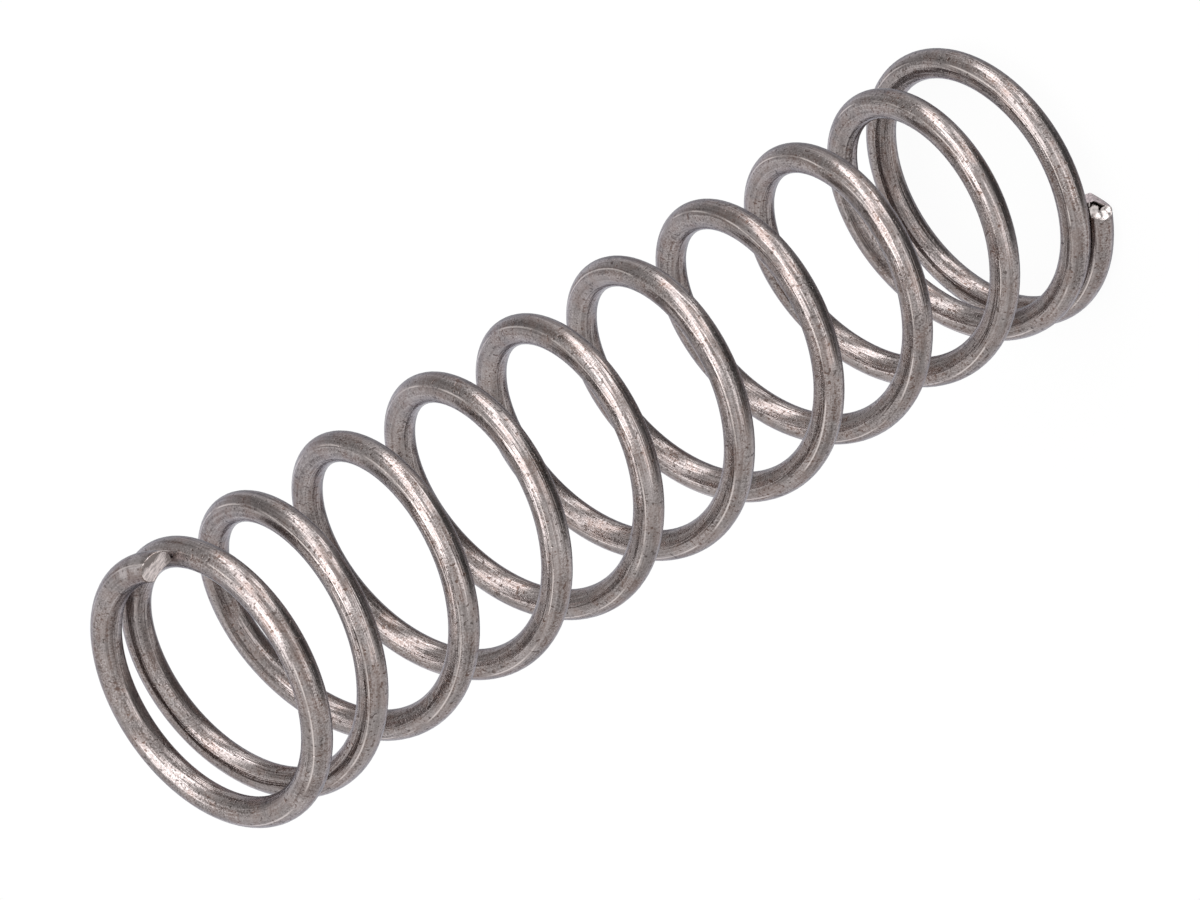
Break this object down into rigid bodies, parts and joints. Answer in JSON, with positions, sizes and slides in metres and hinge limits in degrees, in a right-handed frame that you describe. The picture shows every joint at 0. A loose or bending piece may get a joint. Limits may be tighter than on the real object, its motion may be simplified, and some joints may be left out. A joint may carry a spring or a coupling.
{
  "type": "compression spring",
  "caption": "Helical compression spring of round steel wire, wound left-hand, with closed unground ends and an open bore.",
  "frame": {"origin": "on the coil axis, in the plane that the foot end stands on", "axes": "+Z along the coil axis from the foot end to the head end; +X from the axis to the cut tip of the foot end"},
  "size_m": [0.0128, 0.0128, 0.048],
  "materials": {
    "spring_wire": "satin drawn wire, brownish grey, with fine lengthwise draw marks"
  },
  "bodies": {
    "root": {"spring": "spring_wire"}
  },
  "joints": []
}
